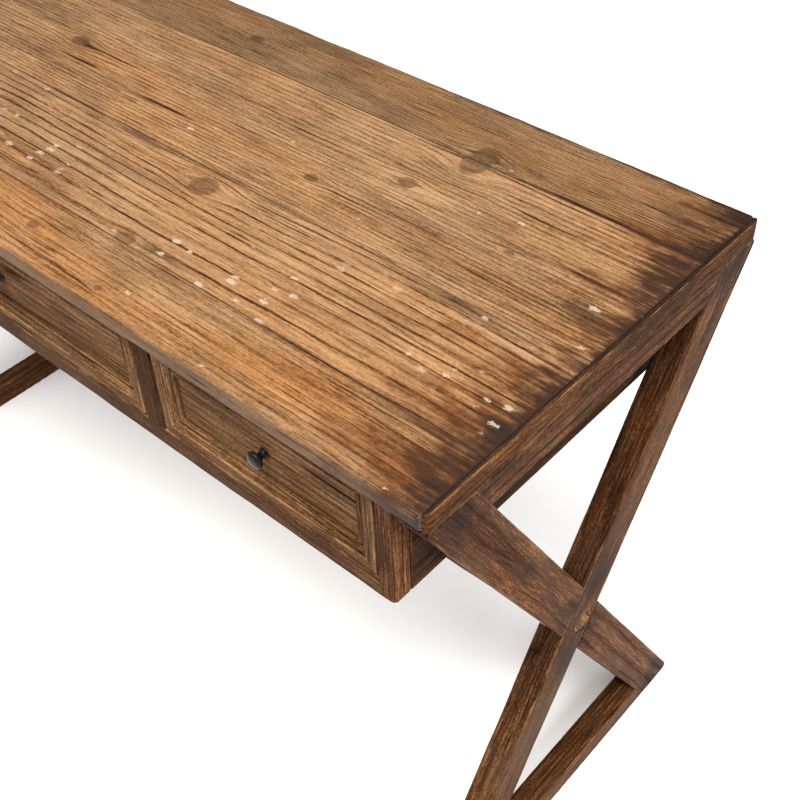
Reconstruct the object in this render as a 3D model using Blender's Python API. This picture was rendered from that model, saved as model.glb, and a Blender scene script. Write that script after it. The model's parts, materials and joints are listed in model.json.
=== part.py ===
"""Writing desk with drawers: a plank top on two X-shaped end frames, with a shallow case
of three panelled drawers hung under the top.

Metres, +Z up. The origin is on the floor under the middle of the desk. The drawers face -Y
and the desk's length runs along X. Run it with blender --background --python part.py
"""

import math

import bmesh
import bpy
from mathutils import Vector

# Whole desk
DESK_WIDTH = 1.220
DESK_DEPTH = 0.506
DESK_HEIGHT = 0.773
GAP = 0.0003  # between pieces that touch
CLEAR = 0.001  # how far a cut runs past the surface it opens

# Plank top
TOP_THICK = 0.022
PLANK_NAMES = ("front", "second", "third", "back")
PLANK_JOINTS = (0.079, 0.221, 0.409)  # distance of each joint from the front edge
TOP_FRONT_CORNER = 0.006
TOP_BACK_CORNER = 0.010
TOP_ARRIS = 0.0018
END_STRIP = 0.0050  # thickness of the lipping on the ends of the planks

# End frames, whose legs cross at mid-depth
LEG_THICK = 0.033
LEG_WIDTH = 0.0553
LEG_SLOPE = 1.681  # rise over depth
CROSSING_HEIGHT = 0.379
LEG_ARRIS = 0.0018
FOOT_TIP = 0.008
LEG_TOP_TIP = 0.005
END_RAIL_HEIGHT = 0.035
RUNNER_HEIGHT = 0.0375
TENON_THICK = 0.012
TENON_LENGTH = 0.024
TENON_SHOULDER = 0.006

# Stretcher, its bolts and the wooden plugs that hide them
BOLT_BACK = 0.006  # the bolt's place behind the crossing and below it
BOLT_BELOW = 0.008
PLUG_RADIUS = 0.0157
PLUG_THICK = 0.0065
COUNTERBORE = 0.012
BOLT_SHANK = 0.004
BOLT_HEAD = 0.0075
BOLT_HEAD_HEIGHT = 0.004
BOLT_LENGTH = 0.075
BOLT_SOCKET = 0.0025  # depth of the hexagonal socket in the bolt's head
HEX_KEY = 0.003  # its radius to a corner
BORE_PLAY = 0.0004
STRETCHER_DEPTH = 0.030
STRETCHER_HEIGHT = 0.055

# Drawer case
CASE_FRONT_SETBACK = 0.010
CASE_BACK_SETBACK = 0.012
CASE_SIDE_INSET = 0.0437
CASE_DROP = 0.1604  # from the top's surface to the case's underside
FRAME_THICK = 0.020
SIDE_THICK = 0.020
STILE_WIDTH = 0.0215
MULLION_WIDTH = 0.028
FRONT_RAIL_HEIGHT = 0.025
CASE_CORNER = 0.009
CASE_ARRIS = 0.0015
FRAME_TENON = 0.010
FRAME_TENON_THICK = 0.008
BACK_THICK = 0.012
BACK_REBATE = 0.010
DIVIDER_THICK = 0.026
STRIP_HEIGHT = 0.020  # bearers under the drawers
KICKER_HEIGHT = 0.022  # strips over the drawers, which stop them tipping
STRIP_WIDTH = 0.026
STRIP_OVERHANG = 0.018
KICKER_SETBACK = 0.0008

# Drawers
MIDDLE_DRAWER = 0.469  # widths of the openings
SIDE_DRAWER = 0.282
FRONT_SIDE_GAP = 0.0015
FRONT_BOTTOM_GAP = 0.0015
FRONT_TOP_GAP = 0.004
FRONT_THICK = 0.020
FRONT_LIP = 0.012
FRONT_CORNER = 0.005
FRONT_MOULDING = (  # inset from the edge and depth below the face, from the border inwards
    (0.0000, 0.0012),
    (0.0004, 0.0004),
    (0.0012, 0.0000),
    (0.0105, 0.0000),
    (0.0120, 0.0006),
    (0.0150, 0.0026),
    (0.0178, 0.0046),
    (0.0190, 0.0062),
    (0.0200, 0.0062),
    (0.0208, 0.0050),
    (0.0222, 0.0044),
    (0.0236, 0.0050),
    (0.0246, 0.0080),
)
DRAWER_LENGTH = 0.430
DRAWER_SIDE = 0.012
DRAWER_SIDE_HEIGHT = 0.088
DRAWER_SIDE_PLAY = 0.0010
DRAWER_REST_GAP = 0.0005
DRAWER_BOTTOM = 0.006
BOTTOM_RAISE = 0.010
GROOVE = 0.005
BACK_BOARD_INSET = 0.006
BACK_BOARD_DROP = 0.005

# Turned knobs
KNOB_PROFILE = (  # radius and height from the seat, up the outside from the screw hole
    (0.0060, 0.0000),
    (0.0060, 0.0008),
    (0.0052, 0.0016),
    (0.0040, 0.0034),
    (0.0036, 0.0052),
    (0.0041, 0.0068),
    (0.0062, 0.0084),
    (0.0083, 0.0100),
    (0.0093, 0.0120),
    (0.0090, 0.0136),
    (0.0075, 0.0150),
    (0.0045, 0.0158),
    (0.0000, 0.0160),
)
KNOB_BORE = 0.0019
KNOB_BORE_DEPTH = 0.009
SCREW_SHANK = 0.0016
SCREW_HEAD = 0.0038
SCREW_HEAD_HEIGHT = 0.0022
SCREW_SLOT = 0.0008
SCREW_TIP = 0.001
SCREW_REACH = 0.008  # how far the screw enters the knob
ROUND_SIDES = 32

# Colour (linear), roughness and metallic value of each finish
FINISHES = {
    "top_wood": ((0.300, 0.143, 0.055), 0.55, 0.0),
    "frame_wood": ((0.125, 0.066, 0.036), 0.55, 0.0),
    "drawer_face_wood": ((0.135, 0.078, 0.044), 0.50, 0.0),
    "inner_wood": ((0.330, 0.200, 0.100), 0.65, 0.0),
    "plug_wood": ((0.110, 0.055, 0.030), 0.50, 0.0),
    "knob_enamel": ((0.006, 0.005, 0.005), 0.18, 0.0),
    "steel": ((0.420, 0.410, 0.390), 0.35, 1.0),
}

UNDERSIDE = DESK_HEIGHT - TOP_THICK
LEVEL_HALF = LEG_WIDTH * math.hypot(1.0, LEG_SLOPE) / LEG_SLOPE / 2
LEVEL_GAP = GAP * math.hypot(1.0, LEG_SLOPE) / LEG_SLOPE
FRAME_X = (DESK_WIDTH - LEG_THICK) / 2
CASE_FRONT = -DESK_DEPTH / 2 + CASE_FRONT_SETBACK
CASE_BACK = DESK_DEPTH / 2 - CASE_BACK_SETBACK
CASE_HALF = DESK_WIDTH / 2 - CASE_SIDE_INSET
CASE_LOW = DESK_HEIGHT - CASE_DROP
CASE_HIGH = UNDERSIDE - GAP
OPENING_LOW = CASE_LOW + FRONT_RAIL_HEIGHT
FRAME_BACK = CASE_FRONT + FRAME_THICK
MULLION_X = (MIDDLE_DRAWER + MULLION_WIDTH) / 2
SIDE_DRAWER_X = MIDDLE_DRAWER / 2 + MULLION_WIDTH + SIDE_DRAWER / 2
SIDES = {"right": 1, "left": -1}


# Modelling helpers


def clear_scene():
    for obj in list(bpy.data.objects):
        bpy.data.objects.remove(obj, do_unlink=True)


def group(name, place):
    """An empty that the pieces of one assembly hang from."""
    empty = bpy.data.objects.new(name, None)
    empty.location = place
    bpy.context.collection.objects.link(empty)
    return empty


def finish_material(name, finish):
    colour, roughness, metallic = FINISHES[finish]
    material = bpy.data.materials.new(name)
    material.use_nodes = True
    shader = material.node_tree.nodes["Principled BSDF"]
    shader.inputs["Base Color"].default_value = (*colour, 1.0)
    shader.inputs["Roughness"].default_value = roughness
    shader.inputs["Metallic"].default_value = metallic
    return material


def solid(name, shape, parent=None, finish=None):
    """The object of a bmesh, with its faces turned outwards. One with no finish is a cutter."""
    bmesh.ops.recalc_face_normals(shape, faces=shape.faces)
    mesh = bpy.data.meshes.new(name)
    shape.to_mesh(mesh)
    shape.free()
    obj = bpy.data.objects.new(name, mesh)
    obj.parent = parent
    bpy.context.collection.objects.link(obj)
    if finish:
        mesh.materials.append(finish_material(f"{name}_finish", finish))
    return obj


def prism(name, outline, axis, start, end, parent=None, finish=None):
    """An outline in the plane across the axis (0, 1 or 2), pushed along it from start to end."""
    shape = bmesh.new()
    rings = []
    for level in (start, end):
        rings.append([])
        for point in outline:
            place = list(point)
            place.insert(axis, level)
            rings[-1].append(shape.verts.new(place))
    for ring in rings:
        shape.faces.new(ring)
    first, last = rings
    for i in range(len(outline)):
        shape.faces.new((first[i - 1], first[i], last[i], last[i - 1]))
    return solid(name, shape, parent, finish)


def block(name, low, high, parent=None, finish=None):
    """A box between two opposite corners, given in any order."""
    outline = ((low[1], low[2]), (high[1], low[2]), (high[1], high[2]), (low[1], high[2]))
    return prism(name, outline, 0, low[0], high[0], parent, finish)


def turned(name, profile, parent=None, finish=None):
    """A profile of radius and height, turned about +Z. Its ends lie on the axis."""
    shape = bmesh.new()
    rings = []
    for radius, height in profile:
        count = ROUND_SIDES if radius else 1
        turns = [2 * math.pi * i / count for i in range(count)]
        ring = [(radius * math.cos(turn), radius * math.sin(turn), height) for turn in turns]
        rings.append([shape.verts.new(place) for place in ring])
    for lower, upper in zip(rings, rings[1:]):
        for i in range(ROUND_SIDES):
            around = ((lower, i), (lower, i + 1), (upper, i + 1), (upper, i))
            corners = [ring[k % len(ring)] for ring, k in around]
            shape.faces.new(list(dict.fromkeys(corners)))
    obj = solid(name, shape, parent, finish)
    obj.data.shade_smooth()
    obj.data.set_sharp_from_angle(angle=math.radians(40))
    return obj


def rounded(outline, radii, steps=5):
    """The outline with each corner turned into an arc of its radius."""
    points = [Vector(point) for point in outline]
    result = []
    for i, corner in enumerate(points):
        radius = radii[i]
        if not radius:
            result.append(corner)
            continue
        before = (points[i - 1] - corner).normalized()
        after = (points[(i + 1) % len(points)] - corner).normalized()
        half = before.angle(after) / 2
        centre = corner + (before + after).normalized() * radius / math.sin(half)
        spoke = corner + before * radius / math.tan(half) - centre
        sweep = math.pi - 2 * half
        if before.x * after.y - before.y * after.x > 0:
            sweep = -sweep
        for step in range(steps + 1):
            turn = sweep * step / steps
            x = spoke.x * math.cos(turn) - spoke.y * math.sin(turn)
            y = spoke.x * math.sin(turn) + spoke.y * math.cos(turn)
            result.append(centre + Vector((x, y)))
    return [tuple(point) for point in result]


def soften(obj, width, chosen):
    """Rounds the chosen edges of an object."""
    shape = bmesh.new()
    shape.from_mesh(obj.data)
    edges = [edge for edge in shape.edges if chosen(*(vert.co for vert in edge.verts))]
    bmesh.ops.bevel(shape, geom=edges, offset=width, segments=2, profile=0.5, affect="EDGES")
    shape.to_mesh(obj.data)
    shape.free()


def combine(target, tool, operation):
    """Applies the tool to the target with a Boolean, and removes the tool."""
    modifier = target.modifiers.new(operation, "BOOLEAN")
    modifier.operation = operation
    modifier.solver = "EXACT"
    modifier.object = tool
    graph = bpy.context.evaluated_depsgraph_get()
    mesh = bpy.data.meshes.new_from_object(target.evaluated_get(graph))
    target.modifiers.clear()
    target.data = mesh
    bpy.data.objects.remove(tool, do_unlink=True)


def cut(target, tool):
    combine(target, tool, "DIFFERENCE")


def join(target, tool):
    combine(target, tool, "UNION")


def along(axis):
    """A test for edges that run along one axis."""
    return lambda one, other: all(abs(one[i] - other[i]) < 1e-6 for i in range(3) if i != axis)


def on_faces(axis, half):
    """A test for edges that lie in either face of a piece centred on the axis."""
    return lambda one, other: all(abs(abs(point[axis]) - half) < 1e-6 for point in (one, other)) and (
        one[axis] * other[axis] > 0
    )


# Plank top


def top_board(name, low, high):
    """A piece of the top between two corners in plan, cut from the whole top's outline."""
    half = Vector((DESK_WIDTH / 2, DESK_DEPTH / 2))
    corners = ((-half.x, -half.y), (half.x, -half.y), (half.x, half.y), (-half.x, half.y))
    radii = (TOP_FRONT_CORNER, TOP_FRONT_CORNER, TOP_BACK_CORNER, TOP_BACK_CORNER)
    tall = TOP_THICK / 2
    board = prism(name, rounded(corners, radii), 2, -tall, tall, None, "top_wood")
    board.location.z = DESK_HEIGHT - tall
    level = board.location.z
    combine(board, block("saw", (*low, level - TOP_THICK), (*high, level + TOP_THICK)), "INTERSECT")
    in_level = on_faces(2, tall)

    def outer_edge(one, other):
        sawn = any(
            abs(one[i] - limit) < 1e-6 and abs(other[i] - limit) < 1e-6
            for i, limit in ((0, low[0]), (0, high[0]), (1, low[1]), (1, high[1]))
        )
        return in_level(one, other) and not sawn

    soften(board, TOP_ARRIS, outer_edge)


def plank_top():
    """Four planks side by side, with a strip across their ends."""
    beyond = DESK_WIDTH
    plank_half = DESK_WIDTH / 2 - END_STRIP
    bounds = (-beyond, *(joint - DESK_DEPTH / 2 for joint in PLANK_JOINTS), beyond)
    for name, front, back in zip(PLANK_NAMES, bounds, bounds[1:]):
        low = (-plank_half + GAP, front + GAP / 2)
        top_board(f"top_plank_{name}", low, (plank_half - GAP, back - GAP / 2))
    top_board("top_end_strip_right", (plank_half, -beyond), (beyond, beyond))
    top_board("top_end_strip_left", (-beyond, -beyond), (-plank_half, beyond))


# End frames. Heights and depths are measured from the crossing.


def leg_strip(lean, low, high, extra=0.0):
    """The outline of a leg between two heights. It leans back as it rises for lean 1."""
    half = LEVEL_HALF + extra
    foot = lean * low / LEG_SLOPE
    head = lean * high / LEG_SLOPE
    return (foot - half, low), (foot + half, low), (head + half, high), (head - half, high)


def rail_outline(low, high, extra=0.0):
    """A rail's outline between the legs. Its ends slope as they do."""
    low_half, high_half = (abs(height) / LEG_SLOPE - LEVEL_HALF + extra for height in (low, high))
    return (-low_half, low), (low_half, low), (high_half, high), (-high_half, high)


def rail(name, frame, low, high):
    """A rail or a floor runner with a stub tenon on each end."""
    half = LEG_THICK / 2
    bar = prism(name, rail_outline(low, high, -LEVEL_GAP), 0, -half, half, frame, "frame_wood")
    soften(bar, LEG_ARRIS, along(1))
    outline = rail_outline(low + TENON_SHOULDER, high - TENON_SHOULDER, TENON_LENGTH)
    join(bar, prism("tenon", outline, 0, -TENON_THICK / 2, TENON_THICK / 2, frame))


def mortise(leg, frame, low, high):
    """Cuts room for the tenons of the rail between two heights."""
    outline = rail_outline(
        low + TENON_SHOULDER - GAP, high - TENON_SHOULDER + GAP, TENON_LENGTH + LEVEL_GAP
    )
    half = TENON_THICK / 2 + GAP
    cut(leg, prism("mortise", outline, 0, -half, half, frame))


def bore(piece, frame, radius, start, end):
    """A round hole on the bolt's axis, from one distance out from the frame's middle to another."""
    turns = [2 * math.pi * i / ROUND_SIDES for i in range(ROUND_SIDES)]
    outline = [
        (BOLT_BACK + radius * math.cos(turn), radius * math.sin(turn) - BOLT_BELOW) for turn in turns
    ]
    cut(piece, prism("bore", outline, 0, start, end, frame))


def leg(name, frame, side, lean, rails):
    """A leg with its half of the lap joint. The one that leans back runs through outside."""
    half = LEG_THICK / 2
    low = -CROSSING_HEIGHT
    high = UNDERSIDE - GAP - CROSSING_HEIGHT
    radii = (FOOT_TIP, 0, LEG_TOP_TIP, 0) if lean > 0 else (0, FOOT_TIP, 0, LEG_TOP_TIP)
    outline = rounded(leg_strip(lean, low, high), radii)
    bar = prism(name, outline, 0, -half, half, frame, "frame_wood")
    soften(bar, LEG_ARRIS, on_faces(0, half))
    lap = leg_strip(-lean, -LEG_WIDTH * 2, LEG_WIDTH * 2, LEVEL_GAP)
    outside = side * 2 * half
    start, end = (-outside, side * GAP / 2) if lean > 0 else (-side * GAP / 2, outside)
    cut(bar, prism("lap", lap, 0, start, end, frame))
    for rail_low, rail_high in rails:
        mortise(bar, frame, rail_low, rail_high)
    bore(bar, frame, BOLT_SHANK + BORE_PLAY, -2 * half, 2 * half)
    if lean > 0:
        bore(bar, frame, PLUG_RADIUS + GAP, side * (half - COUNTERBORE), outside)


def plug(name, frame, side):
    """The wooden button over the bolt's head, a little below the leg's face."""
    profile = (
        (0.0, 0.0),
        (PLUG_RADIUS, 0.0),
        (PLUG_RADIUS, PLUG_THICK - 0.0010),
        (PLUG_RADIUS - 0.0010, PLUG_THICK - 0.0002),
        (0.0, PLUG_THICK),
    )
    button = turned(name, profile, frame, "plug_wood")
    seat = LEG_THICK / 2 - PLUG_THICK - GAP
    button.location = (side * seat, BOLT_BACK, -BOLT_BELOW)
    button.rotation_euler.y = side * math.pi / 2


def bolt(name, frame, side):
    """A socket-headed bolt through both legs into the stretcher's end."""
    profile = (
        (0.0, -BOLT_LENGTH),
        (BOLT_SHANK - 0.0008, -BOLT_LENGTH),
        (BOLT_SHANK, 0.0008 - BOLT_LENGTH),
        (BOLT_SHANK, 0.0),
        (BOLT_HEAD, 0.0),
        (BOLT_HEAD, BOLT_HEAD_HEIGHT - 0.0006),
        (BOLT_HEAD - 0.0006, BOLT_HEAD_HEIGHT),
        (0.0, BOLT_HEAD_HEIGHT),
    )
    shaft = turned(name, profile, frame, "steel")
    seat = LEG_THICK / 2 - COUNTERBORE + GAP
    shaft.location = (side * seat, BOLT_BACK, -BOLT_BELOW)
    shaft.rotation_euler.y = side * math.pi / 2
    turns = [math.pi * i / 3 for i in range(6)]
    hexagon = [(HEX_KEY * math.cos(turn), HEX_KEY * math.sin(turn)) for turn in turns]
    socket = prism("socket", hexagon, 2, BOLT_HEAD_HEIGHT - BOLT_SOCKET, BOLT_HEAD_HEIGHT + CLEAR, frame)
    socket.location = shaft.location
    socket.rotation_euler = shaft.rotation_euler
    cut(shaft, socket)


def end_frame(side_name):
    side = SIDES[side_name]
    frame = group(f"end_frame_{side_name}", (side * FRAME_X, 0, CROSSING_HEIGHT))
    head = UNDERSIDE - GAP - CROSSING_HEIGHT
    upper = (head - END_RAIL_HEIGHT, head)
    lower = (-CROSSING_HEIGHT, RUNNER_HEIGHT - CROSSING_HEIGHT)
    leg(f"leg_through_{side_name}", frame, side, 1, (upper, lower))
    leg(f"leg_lapped_{side_name}", frame, side, -1, (upper, lower))
    rail(f"end_rail_{side_name}", frame, *upper)
    rail(f"floor_runner_{side_name}", frame, *lower)
    plug(f"crossing_plug_{side_name}", frame, side)
    bolt(f"stretcher_bolt_{side_name}", frame, side)


def stretcher():
    """The bar between the two crossings, bored at each end for its bolt."""
    half = FRAME_X - LEG_THICK / 2 - GAP
    deep = STRETCHER_DEPTH / 2
    tall = STRETCHER_HEIGHT / 2
    bar = block("stretcher", (-half, -deep, -tall), (half, deep, tall), None, "frame_wood")
    bar.location = (0, BOLT_BACK, CROSSING_HEIGHT - BOLT_BELOW)
    soften(bar, LEG_ARRIS, along(0))
    reach = BOLT_LENGTH - COUNTERBORE + 2 * CLEAR
    crossing = group("stretcher_axis", (0, 0, CROSSING_HEIGHT))
    for side in SIDES.values():
        bore(bar, crossing, BOLT_SHANK + BORE_PLAY, side * (half - reach), side * (half + GAP))


# Drawer case


def case_upright(name, side, width, front, back, finish):
    """A stile or a side panel: flush outside, with the same round lower corner."""
    outer = side * CASE_HALF
    inner = side * (CASE_HALF - width)
    corners = ((inner, CASE_LOW), (outer, CASE_LOW), (outer, CASE_HIGH), (inner, CASE_HIGH))
    outline = rounded(corners, (0, CASE_CORNER, 0, 0))
    return prism(name, outline, 1, front, back, None, finish)


def case_ends():
    """Each end of the case: a side panel with the face frame's stile on its front edge."""
    rail_middle = CASE_LOW + FRONT_RAIL_HEIGHT / 2
    for side_name, side in SIDES.items():
        stile = case_upright(
            f"case_stile_{side_name}", side, STILE_WIDTH, CASE_FRONT, FRAME_BACK, "frame_wood"
        )

        def front_corner(one, other):
            at_front = max(one.y, other.y) < CASE_FRONT + 1e-6
            inner = min(abs(one.x), abs(other.x)) < CASE_HALF - STILE_WIDTH + 1e-6
            top = min(one.z, other.z) > CASE_HIGH - 1e-6
            return at_front and not inner and not top

        soften(stile, CASE_ARRIS, front_corner)
        face = CASE_HALF - STILE_WIDTH
        mouth, floor = side * (face - CLEAR), side * (face + FRAME_TENON + GAP)
        rail_tenon(stile, "mortise", mouth, floor, rail_middle, GAP)
        panel = case_upright(
            f"case_side_{side_name}", side, SIDE_THICK, FRAME_BACK + GAP, CASE_BACK, "frame_wood"
        )
        inner = CASE_HALF - SIDE_THICK
        low = (side * (inner - CLEAR), CASE_BACK - BACK_THICK - GAP, CASE_LOW - CLEAR)
        high = (side * (inner + BACK_REBATE), CASE_BACK + CLEAR, CASE_HIGH + CLEAR)
        cut(panel, block("rebate", low, high))


def rail_tenon(piece, name, start, end, middle, extra=0.0):
    """The tenon on an end of the front rail, or with extra, the mortise for it."""
    tall = FRONT_RAIL_HEIGHT / 2 - TENON_SHOULDER + extra
    deep = FRAME_TENON_THICK / 2 + extra
    centre = CASE_FRONT + FRAME_THICK / 2
    tool = block(name, (start, centre - deep, middle - tall), (end, centre + deep, middle + tall))
    combine(piece, tool, "DIFFERENCE" if extra else "UNION")


def mullion_tenon(piece, name, side, start, end, extra=0.0):
    """The tenon under a mullion, or with extra, the mortise for it in the front rail."""
    wide = MULLION_WIDTH / 2 - TENON_SHOULDER + extra
    deep = FRAME_TENON_THICK / 2 + extra
    centre = CASE_FRONT + FRAME_THICK / 2
    x = side * MULLION_X
    tool = block(name, (x - wide, centre - deep, start), (x + wide, centre + deep, end))
    combine(piece, tool, "DIFFERENCE" if extra else "UNION")


def face_frame():
    """The front rail under the drawers and the two mullions between them."""
    half = CASE_HALF - STILE_WIDTH - GAP
    low = (-half, CASE_FRONT, CASE_LOW)
    high = (half, FRAME_BACK, OPENING_LOW)
    front_rail = block("case_front_rail", low, high, None, "frame_wood")
    soften(front_rail, CASE_ARRIS, lambda one, other: along(0)(one, other) and one.y < CASE_FRONT + 1e-6)
    middle = CASE_LOW + FRONT_RAIL_HEIGHT / 2
    rail_tenon(front_rail, "tenon", -half - FRAME_TENON, half + FRAME_TENON, middle)
    for side_name, side in SIDES.items():
        mouth, floor = OPENING_LOW + CLEAR, OPENING_LOW - FRAME_TENON - GAP
        mullion_tenon(front_rail, "mortise", side, floor, mouth, GAP)
        wide = MULLION_WIDTH / 2
        low = (side * MULLION_X - wide, CASE_FRONT, OPENING_LOW + GAP)
        high = (side * MULLION_X + wide, FRAME_BACK, CASE_HIGH)
        mullion = block(f"case_mullion_{side_name}", low, high, None, "frame_wood")
        soften(mullion, CASE_ARRIS, lambda one, other: along(2)(one, other) and one.y < CASE_FRONT + 1e-6)
        mullion_tenon(mullion, "tenon", side, OPENING_LOW - FRAME_TENON, OPENING_LOW + 2 * CLEAR)


def case_back():
    half = CASE_HALF - SIDE_THICK + BACK_REBATE - GAP
    low = (-half, CASE_BACK - BACK_THICK, CASE_LOW)
    block("case_back", low, (half, CASE_BACK, CASE_HIGH), None, "frame_wood")


def strips():
    """The dividers behind the mullions, and the strips that carry and hold down the drawers."""
    back = CASE_BACK - BACK_THICK - GAP
    bearer_high = OPENING_LOW
    kicker_low = CASE_HIGH - KICKER_HEIGHT
    wide = DIVIDER_THICK / 2 + STRIP_OVERHANG
    inner = CASE_HALF - SIDE_THICK - GAP
    for side_name, side in SIDES.items():
        x = side * MULLION_X
        spans = {
            "outer": (side * (inner - STRIP_WIDTH), side * inner),
            "divider": (x - wide, x + wide),
        }
        for place, (start, end) in spans.items():
            low = (start, FRAME_BACK + GAP, bearer_high - STRIP_HEIGHT)
            block(f"bearer_{place}_{side_name}", low, (end, back, bearer_high), None, "inner_wood")
            low = (start, FRAME_BACK + KICKER_SETBACK, kicker_low)
            block(f"kicker_{place}_{side_name}", low, (end, back, CASE_HIGH), None, "inner_wood")
        half = DIVIDER_THICK / 2
        low = (x - half, FRAME_BACK + KICKER_SETBACK, bearer_high + GAP)
        high = (x + half, back, kicker_low - GAP)
        block(f"case_divider_{side_name}", low, high, None, "inner_wood")


# Drawers. Each is built about the middle of its front, with +Y towards its back.


def front_ring(half_width, half_height, inset, depth):
    """One line of the front's moulding: a rectangle with round corners that tighten inwards."""
    x = half_width - inset
    z = half_height - inset
    radius = max(FRONT_CORNER - inset * 0.25, 0.0008)
    corners = ((-x, -z), (x, -z), (x, z), (-x, z))
    return [(px, depth, pz) for px, pz in rounded(corners, (radius,) * 4, 3)]


def drawer_front(name, drawer, half_width, half_height):
    """A front whose flat border falls through a cove and a bead to a sunk field."""
    lines = [(0.0, FRONT_THICK), *FRONT_MOULDING]
    shape = bmesh.new()
    rings = []
    for inset, depth in lines:
        ring = front_ring(half_width, half_height, inset, depth)
        rings.append([shape.verts.new(place) for place in ring])
    shape.faces.new(rings[0])
    shape.faces.new(rings[-1])
    for outer, inner in zip(rings, rings[1:]):
        for i in range(len(outer)):
            shape.faces.new((outer[i - 1], outer[i], inner[i], inner[i - 1]))
    front = solid(name, shape, drawer, "drawer_face_wood")
    low = -half_height - CLEAR
    for side in (1, -1):
        inner = half_width - DRAWER_SIDE_PLAY - DRAWER_SIDE - GAP
        corner = (side * (half_width + CLEAR), FRONT_THICK + CLEAR, half_height + CLEAR)
        cut(front, block("rebate", (side * inner, FRONT_LIP, low), corner, drawer))
    groove_low, groove_high = bottom_levels(half_height)
    start = (-half_width, FRONT_THICK - GROOVE - GAP, groove_low - GAP)
    cut(front, block("groove", start, (half_width, FRONT_THICK + CLEAR, groove_high + GAP), drawer))
    reach = 2 * FRONT_THICK
    ends = ((0, -reach), (KNOB_BORE, -reach), (KNOB_BORE, reach), (0, reach))
    hole = turned("hole", ends, drawer)
    hole.rotation_euler.x = math.pi / 2
    cut(front, hole)


def side_levels(half_height):
    """The lowest and highest levels of a drawer's sides."""
    low = -half_height - FRONT_BOTTOM_GAP + DRAWER_REST_GAP
    return low, low + DRAWER_SIDE_HEIGHT


def bottom_levels(half_height):
    low = side_levels(half_height)[0] + BOTTOM_RAISE
    return low, low + DRAWER_BOTTOM


def drawer_side(name, drawer, side, half_width, half_height):
    """A side, set in the front's rebate, grooved for the bottom and housed for the back."""
    outer = half_width - DRAWER_SIDE_PLAY
    inner = outer - DRAWER_SIDE
    low, high = side_levels(half_height)
    start = (side * inner, FRONT_LIP + GAP, low)
    board = block(name, start, (side * outer, DRAWER_LENGTH, high), drawer, "inner_wood")
    groove_low, groove_high = bottom_levels(half_height)
    start = (side * (inner - CLEAR), 0, groove_low - GAP)
    end = (side * (inner + GROOVE + GAP), DRAWER_LENGTH + CLEAR, groove_high + GAP)
    cut(board, block("groove", start, end, drawer))
    back = DRAWER_LENGTH - BACK_BOARD_INSET
    start = (side * (inner - CLEAR), back - DRAWER_SIDE - GAP, groove_high)
    end = (side * (inner + GROOVE + GAP), back + GAP, high + CLEAR)
    cut(board, block("housing", start, end, drawer))


def drawer_back_and_bottom(name, drawer, half_width, half_height):
    """The bottom slides in from behind, under the back board, which is housed in the sides."""
    reach = half_width - DRAWER_SIDE_PLAY - DRAWER_SIDE + GROOVE
    low, high = side_levels(half_height)
    bottom_low, bottom_high = bottom_levels(half_height)
    back = DRAWER_LENGTH - BACK_BOARD_INSET
    start = (-reach, back - DRAWER_SIDE, bottom_high + 2 * GAP)
    block(f"{name}_back", start, (reach, back, high - BACK_BOARD_DROP), drawer, "inner_wood")
    start = (-reach, FRONT_THICK - GROOVE, bottom_low)
    block(f"{name}_bottom", start, (reach, back, bottom_high), drawer, "inner_wood")


def knob(name, drawer):
    field = FRONT_MOULDING[-1][1]
    bored = ((0.0, KNOB_BORE_DEPTH), (KNOB_BORE, KNOB_BORE_DEPTH), (KNOB_BORE, 0.0), *KNOB_PROFILE)
    piece = turned(name, bored, drawer, "knob_enamel")
    piece.location.y = field - GAP
    piece.rotation_euler.x = math.pi / 2


def knob_screw(name, drawer):
    """A round-headed screw from inside the drawer, through the front into the knob."""
    field = FRONT_MOULDING[-1][1]
    length = FRONT_THICK - field + SCREW_REACH
    profile = (
        (0.0, -SCREW_HEAD_HEIGHT),
        (SCREW_HEAD * 0.55, -SCREW_HEAD_HEIGHT * 0.92),
        (SCREW_HEAD * 0.90, -SCREW_HEAD_HEIGHT * 0.55),
        (SCREW_HEAD, 0.0),
        (SCREW_SHANK, 0.0),
        (SCREW_SHANK, length - SCREW_TIP),
        (0.0, length),
    )
    piece = turned(name, profile, drawer, "steel")
    piece.location.y = FRONT_THICK + GAP
    piece.rotation_euler.x = math.pi / 2
    slot_floor = FRONT_THICK + GAP + SCREW_HEAD_HEIGHT * 0.6
    start = (-SCREW_HEAD - CLEAR, slot_floor, -SCREW_SLOT / 2)
    end = (SCREW_HEAD + CLEAR, slot_floor + SCREW_HEAD_HEIGHT, SCREW_SLOT / 2)
    cut(piece, block("slot", start, end, drawer))


def drawer(place, x, opening):
    name = f"drawer_{place}"
    half_width = opening / 2 - FRONT_SIDE_GAP
    low = OPENING_LOW + FRONT_BOTTOM_GAP
    high = UNDERSIDE - FRONT_TOP_GAP
    half_height = (high - low) / 2
    body = group(f"{name}_body", (x, CASE_FRONT, (low + high) / 2))
    drawer_front(f"{name}_front", body, half_width, half_height)
    for side_name, side in SIDES.items():
        drawer_side(f"{name}_side_{side_name}", body, side, half_width, half_height)
    drawer_back_and_bottom(name, body, half_width, half_height)
    knob(f"{name}_knob", body)
    knob_screw(f"{name}_knob_screw", body)


def desk():
    clear_scene()
    plank_top()
    for side_name in SIDES:
        end_frame(side_name)
    stretcher()
    case_ends()
    face_frame()
    case_back()
    strips()
    drawer("left", -SIDE_DRAWER_X, SIDE_DRAWER)
    drawer("centre", 0.0, MIDDLE_DRAWER)
    drawer("right", SIDE_DRAWER_X, SIDE_DRAWER)


desk()
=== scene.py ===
"""The looks of the writing desk: brushed and waxed plank top, stained frame, panelled drawers."""

import json
import math
import random

import bmesh
import bpy
import numpy as np
from mathutils import Matrix, Vector


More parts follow.
